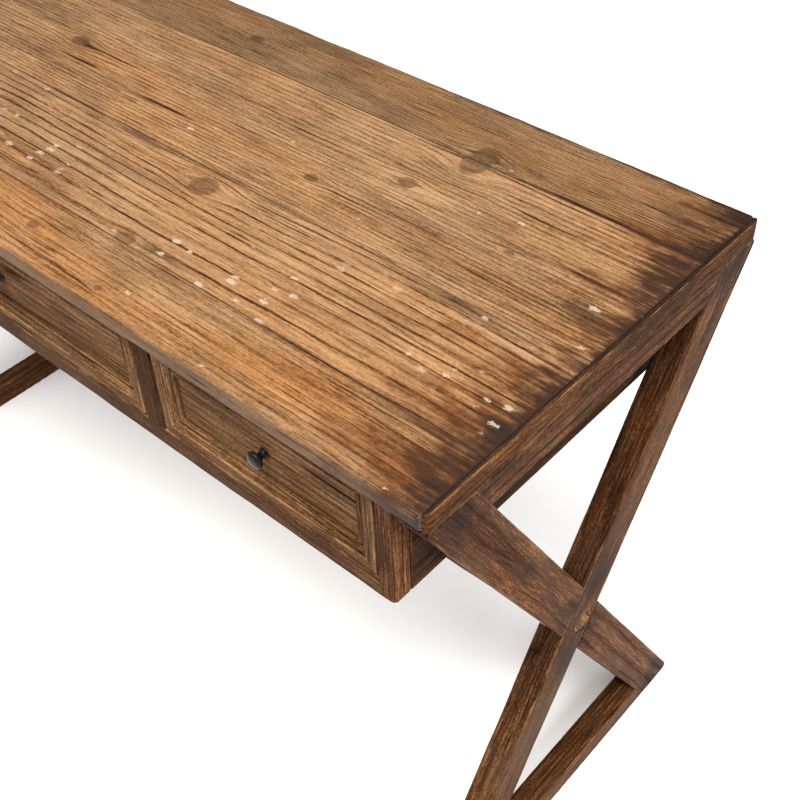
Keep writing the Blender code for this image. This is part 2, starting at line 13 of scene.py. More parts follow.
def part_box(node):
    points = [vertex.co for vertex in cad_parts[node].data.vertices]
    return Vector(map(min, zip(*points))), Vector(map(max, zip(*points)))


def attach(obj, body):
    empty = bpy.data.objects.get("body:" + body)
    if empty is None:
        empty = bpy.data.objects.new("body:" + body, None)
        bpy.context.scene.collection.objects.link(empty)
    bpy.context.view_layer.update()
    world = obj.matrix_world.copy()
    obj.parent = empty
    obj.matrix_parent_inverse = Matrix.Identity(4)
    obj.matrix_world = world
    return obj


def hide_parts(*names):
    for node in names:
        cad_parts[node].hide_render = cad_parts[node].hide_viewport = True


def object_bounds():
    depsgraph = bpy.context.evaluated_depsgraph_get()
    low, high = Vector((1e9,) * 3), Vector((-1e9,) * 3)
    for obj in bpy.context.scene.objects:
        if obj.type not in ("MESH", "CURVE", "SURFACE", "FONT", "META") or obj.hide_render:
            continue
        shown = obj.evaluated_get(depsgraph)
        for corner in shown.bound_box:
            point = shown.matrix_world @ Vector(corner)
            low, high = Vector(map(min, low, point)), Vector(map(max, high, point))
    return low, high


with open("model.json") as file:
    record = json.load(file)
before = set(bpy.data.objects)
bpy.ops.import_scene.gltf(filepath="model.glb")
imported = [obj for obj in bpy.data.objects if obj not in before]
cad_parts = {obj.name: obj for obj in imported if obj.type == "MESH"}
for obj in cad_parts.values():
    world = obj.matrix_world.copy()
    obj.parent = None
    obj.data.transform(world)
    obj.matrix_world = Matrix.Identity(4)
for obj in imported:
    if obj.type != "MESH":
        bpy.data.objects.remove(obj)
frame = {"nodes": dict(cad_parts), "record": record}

CAD_BOX = [[float(x) for x in corner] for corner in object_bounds()]
LOW, HIGH = (Vector(corner) for corner in CAD_BOX)

# The end frames' geometry, as the CAD has it
LEG_SLOPE = 1.681
LEG_WIDTH = 0.0553
CROSSING = Vector((0.0, 0.379))
LEVEL_HALF = LEG_WIDTH * math.hypot(1.0, LEG_SLOPE) / LEG_SLOPE / 2
FOOT_TIP = 0.008
LEG_TOP_TIP = 0.005
BOLT_PLACE = (0.006, 0.371)
PLUG_HOLE = 0.0160
TOP_FRONT_CORNER = 0.006
TOP_BACK_CORNER = 0.010
CASE_CORNER = 0.009
EDGE_REACH = 0.012  # how far the top's worn edge reaches in from its front and back
FIT = 0.0003
SIDES = {"right": 1, "left": -1}
X, Y, Z = (Vector(axis) for axis in np.eye(3))

PALETTES = {  # linear colours, from the hollows to the worn ridges
    "top": (
        (0.0160, 0.0066, 0.0031), (0.062, 0.030, 0.0111), (0.139, 0.073, 0.031), (0.234, 0.141, 0.073),
    ),
    "frame": (
        (0.0074, 0.0035, 0.0018), (0.034, 0.0136, 0.0054), (0.072, 0.030, 0.0113), (0.250, 0.122, 0.052),
    ),
    "drawer": (
        (0.0110, 0.0058, 0.0027), (0.054, 0.024, 0.0090), (0.111, 0.052, 0.0202), (0.290, 0.162, 0.079),
    ),
    "inner": (
        (0.120, 0.064, 0.027), (0.240, 0.144, 0.069), (0.328, 0.216, 0.116), (0.400, 0.284, 0.172),
    ),
}
GREY_WOOD = (0.078, 0.050, 0.030)
# The near-black of soot stains, also used for painted shade.
SOOT_AND_SHADE = (0.010, 0.007, 0.006)
RUST = (0.052, 0.020, 0.008)
KNOT_DARK = (0.050, 0.033, 0.022)


# Nodes. The same calls build a material's tree or a modifier's, so colour and relief agree.


class Net:
    def __init__(self, tree):
        self.tree = tree

    def node(self, kind, inputs=(), **settings):
        made = self.tree.nodes.new(kind)
        for name, value in settings.items():
            setattr(made, name, value)
        for name, value in dict(inputs).items():
            self.feed(made.inputs[name], value)
        return made

    def feed(self, socket, value):
        if isinstance(value, bpy.types.NodeSocket):
            self.tree.links.new(value, socket)
        else:
            socket.default_value = value

    def math(self, operation, *values, clamp=False):
        return self.node("ShaderNodeMath", enumerate(values), operation=operation, use_clamp=clamp).outputs[0]

    def add(self, *values):
        total = values[0]
        for value in values[1:]:
            total = self.math("ADD", total, value)
        return total

    def times(self, *values):
        total = values[0]
        for value in values[1:]:
            total = self.math("MULTIPLY", total, value)
        return total

    def minus(self, one, other):
        return self.math("SUBTRACT", one, other)

    def dot(self, one, other):
        made = self.node("ShaderNodeVectorMath", enumerate((one, other)), operation="DOT_PRODUCT")
        return made.outputs["Value"]

    def join(self, x, y, z=0.0):
        return self.node("ShaderNodeCombineXYZ", {"X": x, "Y": y, "Z": z}).outputs[0]

    def noise(self, vector, detail=2.0, roughness=0.5):
        inputs = {"Vector": vector, "Scale": 1.0, "Detail": detail, "Roughness": roughness}
        return self.node("ShaderNodeTexNoise", inputs).outputs[0]

    def ease(self, value, low, high, to_low=0.0, to_high=1.0):
        """A smooth step from one value to another."""
        inputs = {"Value": value, "From Min": low, "From Max": high, "To Min": to_low, "To Max": to_high}
        return self.node("ShaderNodeMapRange", inputs, interpolation_type="SMOOTHSTEP").outputs[0]

    def blend(self, share, one, other):
        inputs = {0: share, 2: one, 3: other}
        return self.node("ShaderNodeMix", inputs, data_type="FLOAT").outputs[0]

    def tint(self, share, one, other, mode="MIX"):
        colours = [
            colour if isinstance(colour, bpy.types.NodeSocket) else (*colour, 1.0) for colour in (one, other)
        ]
        inputs = {0: share, 6: colours[0], 7: colours[1]}
        return self.node("ShaderNodeMix", inputs, data_type="RGBA", blend_type=mode).outputs[2]

    def ramp(self, value, colours, places):
        made = self.node("ShaderNodeValToRGB", {"Fac": value})
        stops = made.color_ramp.elements
        while len(stops) < len(colours):
            stops.new(0.5)
        for stop, colour, place in zip(stops, colours, places):
            stop.position = place
            stop.color = (*colour, 1.0)
        return made.outputs["Color"]

    def oval(self, along, across, place, size):
        """1 at the edge of an oval, less inside and more outside."""
        x = self.times(self.minus(along, place[0]), 1 / size[0])
        y = self.times(self.minus(across, place[1]), 1 / size[1])
        return self.math("SQRT", self.add(self.times(x, x), self.times(y, y)))


class Board:
    """How the wood of one piece grows: its grain's directions, rings, knots and finish."""

    def __init__(self, name, along=X, across=Y, palette="frame", **given):
        self.name = name
        self.along = Vector(along).normalized()
        self.across = Vector(across).normalized()
        self.deep = self.along.cross(self.across)
        self.palette = palette
        self.spacing = 0.0034
        self.groove = 0.55
        self.wander = 0.010
        self.pith = (0.05, -0.09)
        self.relief = 0.00012
        self.line = 0.7
        self.contrast = 0.5
        self.knots = ()
        self.smudges = ()
        self.grey = 0.25
        self.warm = 0.5
        self.flecks = 0.0
        self.worn = 0.7
        self.gloss = 0.42
        self.ends = None
        self.border = None
        self.mottle = 0.35
        self.shine = 0.008
        # A painted shade factor: below 1 it darkens the whole piece's colour.
        self.painted_shade = 1.0
        self.bump = 0.5
        for key, value in given.items():
            setattr(self, key, value)
        chance = random.Random(name)
        self.seed = Vector([chance.uniform(-40, 40) for _ in range(3)])


def wood_field(net, place, board):
    """The height of the brushed surface, 0 to 1, and the masks that its colour needs."""
    a = net.dot(place, tuple(board.along))
    b = net.dot(place, tuple(board.across))
    c = net.dot(place, tuple(board.deep))
    sa, sb, sc = board.seed

    def stretched(scale_a, scale_b, detail=2.0, roughness=0.5, shift=0.0, across=None):
        across = b if across is None else across
        return net.noise(
            net.join(
                net.add(net.times(a, scale_a), sa + shift),
                net.add(net.times(across, scale_b), sb),
                net.add(net.times(c, scale_b), sc),
            ),
            detail,
            roughness,
        )

    if board.border:
        from_a = net.minus(board.half[0], net.math("ABSOLUTE", net.minus(a, board.middle[0])))
        from_b = net.minus(board.half[1], net.math("ABSOLUTE", net.minus(b, board.middle[1])))
        upright = net.math("LESS_THAN", from_a, net.math("MINIMUM", from_b, board.border))
        a, b = net.blend(upright, a, b), net.blend(upright, b, a)
    slow = net.minus(stretched(1.7, 7.0, across=b), 0.5)
    wave = net.minus(stretched(9.0, 34.0, shift=5.0, across=b), 0.5)
    ripple = net.minus(stretched(28.0, 80.0, shift=7.0, across=b), 0.5)
    flow = net.add(
        b,
        net.times(slow, board.wander),
        net.times(wave, board.wander * 0.30),
        net.times(ripple, board.wander * 0.07),
    )
    knot_mask, knot_rings = None, None
    for knot_a, knot_b, size_a, size_b in board.knots:
        near = net.oval(a, b, (knot_a, knot_b), (size_a * 2.6, size_b * 1.5))
        pull = net.ease(near, 1.6, 0.0, 0.0, 0.86)
        flow = net.minus(flow, net.times(net.minus(b, knot_b), pull))
        edge = net.oval(a, b, (knot_a, knot_b), (size_a, size_b))
        edge = net.add(edge, net.times(wave, 0.8))
        mask = net.ease(edge, 1.12, 0.86)
        knot_mask = mask if knot_mask is None else net.math("MAXIMUM", knot_mask, mask)
        knot_rings = edge if knot_rings is None else net.math("MINIMUM", knot_rings, edge)
    x = net.minus(flow, board.pith[0])
    y = net.minus(c, board.pith[1])
    ring = net.math("SQRT", net.add(net.times(x, x), net.times(y, y)))
    sway = net.noise(net.join(net.times(a, 1.3), net.add(net.times(ring, 16.0), sb), sc), 1.0)
    phase = net.add(net.times(ring, 1 / board.spacing), net.times(sway, 3.2))
    saw = net.math("FRACT", phase)
    trough = net.ease(net.math("ABSOLUTE", net.minus(saw, 0.5)), board.groove * 0.5, 0.5)
    vigour = net.noise(net.join(net.times(a, 4.2), net.times(phase, 1.0), sb), 1.0)
    trough = net.times(trough, net.ease(vigour, 0.30, 0.62, 0.42, 1.0))
    fibre = net.ease(stretched(17.0, 560.0, 3.0, 0.65, across=flow), 0.30, 0.70)
    streak = net.ease(stretched(4.5, 150.0, 3.0, 0.6, shift=13.0, across=flow), 0.32, 0.68)
    split = net.ease(stretched(6.0, 190.0, 2.0, 0.55, shift=11.0, across=flow), 0.655, 0.735)
    dash = net.ease(stretched(34.0, 900.0, 2.0, 0.6, shift=17.0, across=flow), 0.57, 0.68)
    speck = net.ease(stretched(260.0, 520.0, 2.0, 0.6, shift=19.0), 0.32, 0.68)
    height = net.minus(1.0, net.times(trough, board.line))
    height = net.add(height, net.times(net.minus(fibre, 0.5), 0.22))
    height = net.minus(height, net.times(split, 0.55))
    if knot_mask is not None:
        rings = net.math("SINE", net.times(knot_rings, 17.0))
        knot_height = net.add(0.72, net.times(rings, 0.12), net.times(net.minus(fibre, 0.5), 0.16))
        height = net.blend(knot_mask, height, knot_height)
    height = net.math("ADD", height, 0.0, clamp=True)
    return {
        "a": a, "b": b, "height": height, "trough": trough, "fibre": fibre, "split": split,
        "dash": dash, "saw": saw, "streak": streak, "speck": speck, "knot": knot_mask, "stretched": stretched,
    }


def wood_material(board):
    material = bpy.data.materials.new(f"{board.name}_wood")
    material.use_nodes = True
    tree = material.node_tree
    net = Net(tree)
    shader = tree.nodes["Principled BSDF"]
    place = net.node("ShaderNodeTexCoord").outputs["Object"]
    field = wood_field(net, place, board)
    stretched = field["stretched"]
    patch = stretched(3.4, 15.0, 2.0, 0.55, shift=23.0)
    tone = net.add(
        net.times(field["height"], 0.56 * board.contrast),
        net.times(net.minus(field["fibre"], 0.5), 0.32),
        net.times(net.minus(field["streak"], 0.5), 0.08),
        net.times(net.minus(field["speck"], 0.5), 0.20),
        net.times(field["saw"], 0.10),
        net.times(net.minus(patch, 0.5), 0.42),
        net.times(field["dash"], -0.27),
        0.34 - 0.26 * board.contrast,
    )
    colour = net.ramp(tone, PALETTES[board.palette], (0.10, 0.34, 0.56, 0.92))
    warm = net.ease(stretched(2.6, 11.0, 1.0, 0.5, shift=31.0), 0.42, 0.70, 0.0, board.warm)
    colour = net.tint(warm, colour, (1.0, 0.74, 0.48), "MULTIPLY")
    grey = net.ease(stretched(5.0, 26.0, 3.0, 0.6, shift=37.0), 0.50, 0.72, 0.0, board.grey)
    colour = net.tint(grey, colour, GREY_WOOD)
    if field["knot"] is not None:
        knot_colour = net.tint(field["height"], KNOT_DARK, PALETTES[board.palette][1])
        colour = net.tint(net.times(field["knot"], 0.58), colour, knot_colour)
    colour = net.tint(net.times(field["split"], 0.75), colour, PALETTES[board.palette][0])
    ragged = stretched(26.0, 60.0, 4.0, 0.65, shift=41.0)
    mottle = net.ease(stretched(9.0, 24.0, 4.0, 0.62, shift=43.0), 0.56, 0.36, 0.0, board.mottle)
    colour = net.tint(mottle, colour, PALETTES[board.palette][0])
    streaks = net.minus(stretched(7.0, 190.0, 3.0, 0.62, shift=59.0), 0.5)
    loose = net.add(net.times(streaks, 2.2), net.times(net.minus(ragged, 0.5), 1.9))
    for place_a, place_b, size_a, size_b, strength in board.smudges:
        oval = net.oval(field["a"], field["b"], (place_a, place_b), (size_a, size_b))
        smudge = net.ease(net.add(oval, loose), 1.15, 0.05, 0.0, strength)
        colour = net.tint(smudge, colour, SOOT_AND_SHADE)
    if board.ends:
        colour = end_stain(net, field, ragged, loose, board, colour)
    if board.flecks:
        colour = flecked(net, field, board, colour)
    # Paler arrises: worn wood, and partly a painted highlight along the rounded edges where they catch light.
    arris = net.node("ShaderNodeAttribute", attribute_name="arris").outputs["Fac"]
    scuff = stretched(30.0, 45.0, 3.0, 0.6, shift=47.0)
    wear = net.ease(net.add(arris, net.times(net.minus(scuff, 0.5), 2.2)), 0.60, 1.45, 0.0, board.worn)
    colour = net.tint(wear, colour, PALETTES[board.palette][3])
    # This mark tints toward soot: real dirt along joints, and painted shade under the top, on the top's front
    # and back faces and in the drawer fronts' hollows.
    dirt = net.node("ShaderNodeAttribute", attribute_name="dirt").outputs["Fac"]
    colour = net.tint(net.times(dirt, net.ease(scuff, 0.25, 0.6, 0.55, 1.0)), colour, SOOT_AND_SHADE)
    # Painted shade: the colour is multiplied down by the board's painted shade factor.
    if board.painted_shade < 1.0:
        colour = net.tint(1.0, colour, (board.painted_shade,) * 3, "MULTIPLY")
    net.feed(shader.inputs["Base Color"], colour)
    rough = net.add(board.gloss, net.times(field["trough"], 0.18), net.times(field["split"], 0.15))
    rough = net.add(rough, net.times(net.minus(field["fibre"], 0.5), 0.16))
    net.feed(shader.inputs["Roughness"], rough)
    shader.inputs["Specular IOR Level"].default_value = board.shine
    tiny = stretched(55.0, 1900.0, 2.0, 0.6, shift=53.0)
    bump_height = net.add(
        net.times(field["height"], 0.6), net.times(tiny, 0.35), net.times(field["dash"], -0.3)
    )
    bump = net.node("ShaderNodeBump", {"Height": bump_height, "Strength": board.bump, "Distance": 0.0004})
    net.feed(shader.inputs["Normal"], bump.outputs["Normal"])
    return material


def end_stain(net, field, ragged, loose, board, colour):
    """Dark, rusty weathering that creeps in from both ends of the top."""
    inward = net.minus(board.ends, net.math("ABSOLUTE", field["a"]))
    broad = net.minus(field["stretched"](3.0, 17.0, 2.0, 0.5, shift=61.0), 0.5)
    blotch = net.minus(field["stretched"](38.0, 64.0, 4.0, 0.7, shift=67.0), 0.5)
    loose = net.add(loose, net.times(broad, 1.8), net.times(blotch, 1.8))
    brown = net.ease(net.add(net.times(inward, 7.0), loose), 1.05, -0.30, 0.0, 0.95)
    colour = net.tint(brown, colour, (0.50, 0.34, 0.22), "MULTIPLY")
    rust = net.ease(net.add(net.times(inward, 14.0), loose), 0.90, -0.40, 0.0, 0.85)
    colour = net.tint(rust, colour, RUST)
    soot = net.ease(net.add(net.times(inward, 20.0), loose), 0.80, -0.35, 0.0, 0.88)
    colour = net.tint(soot, colour, SOOT_AND_SHADE)
    rim = net.ease(net.add(net.times(inward, 95.0), net.times(blotch, 3.0)), 1.25, 0.35, 0.0, 0.85)
    return net.tint(rim, colour, (0.024, 0.010, 0.005))


def flecked(net, field, board, colour):
    """Small pale chips with ragged outlines, gathered in some places."""
    chips = net.node(
        "ShaderNodeTexVoronoi",
        {"Vector": net.join(net.times(field["a"], 46.0), net.times(field["b"], 88.0)), "Scale": 1.0},
        voronoi_dimensions="2D",
    )
    chance = net.node("ShaderNodeSeparateColor", {"Color": chips.outputs["Color"]})
    chosen = net.math("GREATER_THAN", chance.outputs["Red"], 1.0 - board.flecks)
    size = net.ease(chance.outputs["Green"], 0.0, 1.0, 0.05, 0.27)
    wobble = net.times(net.minus(field["stretched"](380.0, 520.0, 3.0, 0.7, shift=67.0), 0.5), 0.75)
    shape = net.ease(net.minus(net.add(chips.outputs["Distance"], wobble), size), 0.03, -0.05)
    gathered = net.ease(field["stretched"](5.0, 13.0, 1.0, 0.5, shift=71.0), 0.46, 0.54)
    return net.tint(net.times(shape, chosen, gathered, 0.75), colour, (0.27, 0.215, 0.16))


def relief(obj, board):
    """Presses the wood's grain into the mesh, inwards only, so that it stays inside its box."""
    tree = bpy.data.node_groups.new(f"{obj.name}_relief", "GeometryNodeTree")
    for way in ("INPUT", "OUTPUT"):
        tree.interface.new_socket("Geometry", in_out=way, socket_type="NodeSocketGeometry")
    net = Net(tree)
    source = net.node("NodeGroupInput").outputs[0]
    field = wood_field(net, net.node("GeometryNodeInputPosition").outputs[0], board)
    depth = net.times(net.minus(field["height"], 1.0), board.relief)
    normal = net.node("GeometryNodeInputNormal").outputs[0]
    offset = net.node("ShaderNodeVectorMath", {0: normal, 3: depth}, operation="SCALE").outputs[0]
    moved = net.node("GeometryNodeSetPosition", {"Geometry": source, "Offset": offset}).outputs[0]
    net.feed(net.node("NodeGroupOutput").inputs[0], moved)
    obj.modifiers.new("relief", "NODES").node_group = tree
    settle(obj)


# Meshes


def settle(obj):
    """Bakes an object's modifiers into its mesh."""
    graph = bpy.context.evaluated_depsgraph_get()
    mesh = bpy.data.meshes.new_from_object(obj.evaluated_get(graph))
    obj.modifiers.clear()
    obj.data = mesh


def mesh_object(name, points, faces, marks=None):
    mesh = bpy.data.meshes.new(name)
    mesh.from_pydata([tuple(point) for point in points], [], faces)
    for mark, values in (marks or {}).items():
        mesh.attributes.new(mark, "FLOAT", "POINT").data.foreach_set("value", values.astype(np.float32))
    mesh.shade_smooth()
    obj = bpy.data.objects.new(name, mesh)
    bpy.context.scene.collection.objects.link(obj)
    return obj


def stations(low, high, step, edge):
    """Grid lines along one axis, close together within an arris of each end."""
    near = np.array((0.0, 0.14, 0.35, 0.65, 1.0)) * edge
    if high - low < 3 * edge:
        return np.linspace(low, high, 7)
    count = max(2, round((high - low - 2 * edge) / step))
    middle = np.linspace(low + edge, high - edge, count + 1)
    return np.concatenate([low + near[:-1], middle, high - near[:-1][::-1]])


def lattice(lines, coarse_base=False):
    """The grid over a box's surface: its points and its faces. A coarse base skips lines underneath."""
    counts = [len(line) for line in lines]
    strides = (counts[1] * counts[2], counts[2], 1)
    faces = []
    for axis in range(3):
        one, other = [i for i in range(3) if i != axis]
        rows = np.arange(counts[one])[:, None] * strides[one]
        grid = rows + np.arange(counts[other])[None, :] * strides[other]
        for end in (0, 1):
            if coarse_base and axis == 2 and end == 0:
                continue
            codes = grid + (counts[axis] - 1) * end * strides[axis]
            quads = np.stack([codes[:-1, :-1], codes[1:, :-1], codes[1:, 1:], codes[:-1, 1:]], -1)
            quads = quads.reshape(-1, 4)
            outward = (end == 1) == (axis != 1)
            faces.extend((quads if outward else quads[:, ::-1]).tolist())
    if coarse_base:
        faces.extend(base_faces(counts, strides))
    used, flat = np.unique(np.concatenate([np.array(face) for face in faces]), return_inverse=True)
    faces = np.split(flat, np.cumsum([len(face) for face in faces])[:-1])
    index = [used // strides[0], used // strides[1] % counts[1], used % counts[2]]
    points = np.stack([lines[i][index[i]] for i in range(3)], -1)
    return points, [face.tolist() for face in faces]


def base_faces(counts, strides):
    """The underside as long strips, with all the lines kept only in its rim."""
    rim = 5
    kept = [*range(rim), *range(counts[1] - rim, counts[1])]
    faces = []
    for i in range(counts[0] - 1):
        for start, end in zip(kept, kept[1:]):
            first = range(start, end + 1) if i == 0 else (start, end)
            last = range(start, end + 1) if i == counts[0] - 2 else (start, end)
            face = [i * strides[0] + j * strides[1] for j in first]
            face += [(i + 1) * strides[0] + j * strides[1] for j in reversed(last)]
            faces.append(face)
    return faces


def soften(points, low, high, radius, seed, wear=0.6):
    """Rounds a box's arrises by a radius that varies along them. Also gives how near each point is to one."""
    chance = np.random.default_rng(seed)
    low, high = np.array(low), np.array(high)
    phases = chance.uniform(0, 6.28, (6, 3))
    rates = chance.uniform(0.6, 1.4, 6) * np.array((9, 17, 31, 58, 96, 150))
    weights = np.array((1.0, 0.9, 0.7, 0.5, 0.45, 0.35)) / 2.4
    swing = sum(
        weight * np.sin(rate * (points @ np.array((1.0, 1.27, 0.91))) + phase[0])
        * np.cos(rate * 0.43 * (points @ np.array((0.7, -1.1, 1.3))) + phase[1])
        for weight, rate, phase in zip(weights, rates, phases)
    )
    if callable(radius):
        radius = radius(points)
    reach = (radius * np.clip(1 + wear * swing, 0.45, 2.2))[:, None]
    inner = np.clip(points, low + reach, high - reach)
    away = points - inner
    length = np.linalg.norm(away, axis=1, keepdims=True)
    largest = np.abs(away).max(1, keepdims=True)
    scale = np.where(length > 1e-9, largest / np.maximum(length, 1e-9), 1.0)
    depths = np.sort(np.minimum(points - low, high - points), axis=1)
    return inner + away * scale, np.exp(-depths[:, 1] / 0.0030)


def round_corner(points, axes, centre, one, other):
    """Turns the corner between two faces, whose normals are given, into an arc about its centre."""
    flat = points[:, axes] - np.array(centre)
    basis = np.array([one, other]).T
    shares = flat @ np.linalg.inv(basis).T
    inside = (shares > 0).all(1)
    length = np.maximum(np.linalg.norm(flat, axis=1), 1e-9)
    scale = np.maximum(flat @ np.array(one), flat @ np.array(other)) / length
    moved = points.copy()
    moved[np.ix_(inside, axes)] = np.array(centre) + flat[inside] * scale[inside, None]
    return moved


def box_board(node, board, steps, radius, shape=None, wear=0.6, coarse_base=False, edge=None, marks=None):
    """A board in the place of a CAD node, with worn arrises and its grain in relief."""
    low, high = (np.array(corner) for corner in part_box(node))
    edge = edge or radius * 2.0
    lines = [stations(low[i], high[i], steps[i], edge) for i in range(3)]
    points, faces = lattice(lines, coarse_base)
    points, arris = soften(points, low, high, radius, sum(map(ord, node)), wear)
    arris, dirt = marks(points, low, high, arris) if marks else (arris, np.zeros(len(points)))
    if shape:
        points = shape(points)
    obj = mesh_object(f"{node}_worn", points, faces, {"arris": arris, "dirt": dirt})
    return finished(obj, node, board)


def finished(obj, node, board, tools=()):
    """Presses in the grain, makes the cuts for the joints and gives the wood."""
    if board.relief:
        relief(obj, board)
    if tools:
        cut(obj, *tools)
    obj.data.materials.clear()
    obj.data.materials.append(wood_material(board))
    return stand_for(obj, node)


def stand_for(obj, node):
    """The piece rides where its CAD node did, and takes its place."""
    record = frame["record"]
    bodies = record["behaviour"]["bodies"]
    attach(obj, next(body for body, nodes in bodies.items() if node in nodes))
    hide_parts(node)
    return obj


def cutter_box(name, low, high):
    shape = bmesh.new()
    bmesh.ops.create_cube(shape, size=1.0)
    mesh = bpy.data.meshes.new(name)
    shape.to_mesh(mesh)
    shape.free()
    low, high = Vector(low), Vector(high)
    mesh.transform(Matrix.Translation((low + high) / 2) @ Matrix.Diagonal((*(high - low), 1.0)))
    obj = bpy.data.objects.new(name, mesh)
    bpy.context.scene.collection.objects.link(obj)
    return obj


def cut(obj, *tools):
    for tool in tools:
        modifier = obj.modifiers.new("cut", "BOOLEAN")
        modifier.operation = "DIFFERENCE"
        modifier.solver = "EXACT"
        modifier.object = tool
    settle(obj)
    for tool in tools:
        bpy.data.objects.remove(tool, do_unlink=True)


# Plank top


def plan_corners(points):
    """The top's round corners in plan."""
    for side in SIDES.values():
        for way, radius in ((-1, TOP_FRONT_CORNER), (1, TOP_BACK_CORNER)):
            centre = (side * (HIGH.x - radius), way * (HIGH.y - radius))
            points = round_corner(points, [0, 1], centre, (side, 0.0), (0.0, way))
    return points


def plank_radius(points):
    """The planks' arrises: well worn round the desk's edge, and crisp at the joints between them."""
    outside = HIGH.y - np.abs(points[:, 1]) < EDGE_REACH
    return np.where(outside, 0.0044, 0.0006)


def plank_marks(points, low, high, arris):
    """Paler where the desk's own edge is, worn and partly a painted highlight; dirty along the joints;
    painted shade on the front and back faces below the arris.
    """
    outside = HIGH.y - np.abs(points[:, 1]) < EDGE_REACH
    joint = np.minimum(points[:, 1] - low[1], high[1] - points[:, 1])
    end = np.minimum(points[:, 0] - low[0], high[0] - points[:, 0])
    joint = np.where(outside, 1.0, joint)
    dirt = 0.85 * np.exp(-np.maximum(joint, 0) / 0.0007) + 0.9 * np.exp(-np.maximum(end, 0) / 0.0012)
    # Painted shade on the top's front and back faces below the arris, where less light falls than on the top.
    shaded_face = np.clip((high[2] - 0.0045 - points[:, 2]) / 0.003, 0, 1)
    dirt += 0.30 * shaded_face * (HIGH.y - np.abs(points[:, 1]) < 0.001)
    return arris * outside, np.clip(dirt, 0, 0.9)


def strip_marks(points, low, high, arris):
    """Paler on the outer arris, worn and partly a painted highlight, and dirty on the inner one and along the
    top.
    """
    side = 1 if low[0] > 0 else -1
    inner = np.abs(points[:, 0] - (low[0] if side > 0 else high[0]))
    on_top = np.clip((points[:, 2] - high[2] + 0.0006) / 0.0004, 0, 1) * (inner < 0.0040)
    return arris**2 * (inner > 0.0034), np.clip(0.85 * np.exp(-inner / 0.0008) + 0.75 * on_top, 0, 0.9)


def plank_top():
    common = {
        "palette": "top", "ends": HIGH.x, "along": X, "across": Y, "gloss": 0.40, "worn": 0.4, "mottle": 0.25,
        "shine": 0.05,
    }
    front = Board(
        "top_plank_front", **common, spacing=0.0036, relief=0.00020, line=0.50, warm=0.75, grey=0.10,
        wander=0.012, contrast=0.85, pith=(0.22, -0.05), flecks=0.015,
        knots=((0.057, -0.212, 0.008, 0.006), (0.190, -0.235, 0.005, 0.004)),
        smudges=((0.592, -0.203, 0.055, 0.028, 0.90), (0.52, -0.180, 0.05, 0.010, 0.35)),
    )
    second = Board(
        "top_plank_second", **common, spacing=0.0032, relief=0.00050, line=1.0, warm=0.35, grey=0.22,
        wander=0.016, contrast=1.05, pith=(-0.30, -0.03), flecks=0.30,
        knots=((0.141, -0.057, 0.017, 0.013), (0.148, -0.169, 0.014, 0.009), (-0.30, -0.110, 0.016, 0.011)),
        smudges=(
            (0.200, -0.164, 0.060, 0.005, 0.55), (0.030, -0.037, 0.10, 0.006, 0.60),
            (0.450, -0.040, 0.13, 0.009, 0.55), (0.585, -0.090, 0.020, 0.030, 0.45),
        ),
    )
    third = Board(
        "top_plank_third", **common, spacing=0.0025, relief=0.00036, line=0.80, warm=0.45, grey=0.20,
        wander=0.012, contrast=1.05, pith=(0.40, 0.02), flecks=0.02,
        knots=(
            (0.216, 0.024, 0.009, 0.007), (0.300, 0.080, 0.011, 0.009), (0.454, 0.051, 0.006, 0.004),
            (0.333, 0.150, 0.016, 0.022), (-0.22, 0.06, 0.013, 0.010),
        ),
        smudges=(
            (0.596, 0.110, 0.050, 0.050, 0.90), (0.545, 0.168, 0.060, 0.022, 0.50),
            (0.40, 0.036, 0.13, 0.010, 0.30), (0.57, 0.02, 0.04, 0.03, 0.45),
        ),
    )
    # The back plank gets painted shade, for the light falling off toward the back of the top.
    back = Board(
        "top_plank_back", **common, spacing=0.0023, relief=0.00034, line=0.80, warm=0.45, grey=0.28,
        wander=0.010, contrast=1.05, pith=(-0.36, 0.0), flecks=0.02, painted_shade=0.74,
        knots=((0.333, 0.164, 0.016, 0.021), (-0.05, 0.20, 0.012, 0.009)),
        smudges=(
            (0.40, 0.250, 0.30, 0.007, 0.60), (0.590, 0.238, 0.030, 0.020, 0.75),
            (0.56, 0.19, 0.05, 0.02, 0.45),
        ),
    )
    for board in (front, second, third, back):
        steps = (0.0040, board.spacing / 3.2, 0.003)
        box_board(
            board.name, board, steps, plank_radius, plan_corners, wear=0.40, coarse_base=True, edge=0.006,
            marks=plank_marks,
        )
    for side_name in SIDES:
        board = Board(
            f"top_end_strip_{side_name}", along=Y, across=Z, palette="frame", spacing=0.004, relief=0.00012,
            worn=0.5, grey=0.30, warm=0.2, contrast=0.25, gloss=0.5, mottle=0.55,
        )
        steps = (0.0011, 0.004, 0.002)
        box_board(board.name, board, steps, 0.0013, plan_corners, wear=0.7, marks=strip_marks)


# End frames


def lean_points(points, lean, low_tip, high_tip, top):
    """Leans an upright bar over at the crossing, and rounds its foot's tip and its head's."""
    points = points.copy()
    points[:, 1] += lean * (points[:, 2] - CROSSING.y) / LEG_SLOPE
    slant = math.hypot(1.0, LEG_SLOPE)
    for side, level, way, radius in ((-lean, 0.0, -1, low_tip), (lean, top, 1, high_tip)):
        z = level - way * radius
        y = lean * (z - CROSSING.y) / LEG_SLOPE + side * (LEVEL_HALF - radius * slant / LEG_SLOPE)
        normal = (side * LEG_SLOPE / slant, -way / slant)
        points = round_corner(points, [1, 2], (y, z), (0.0, float(way)), normal)
    return points


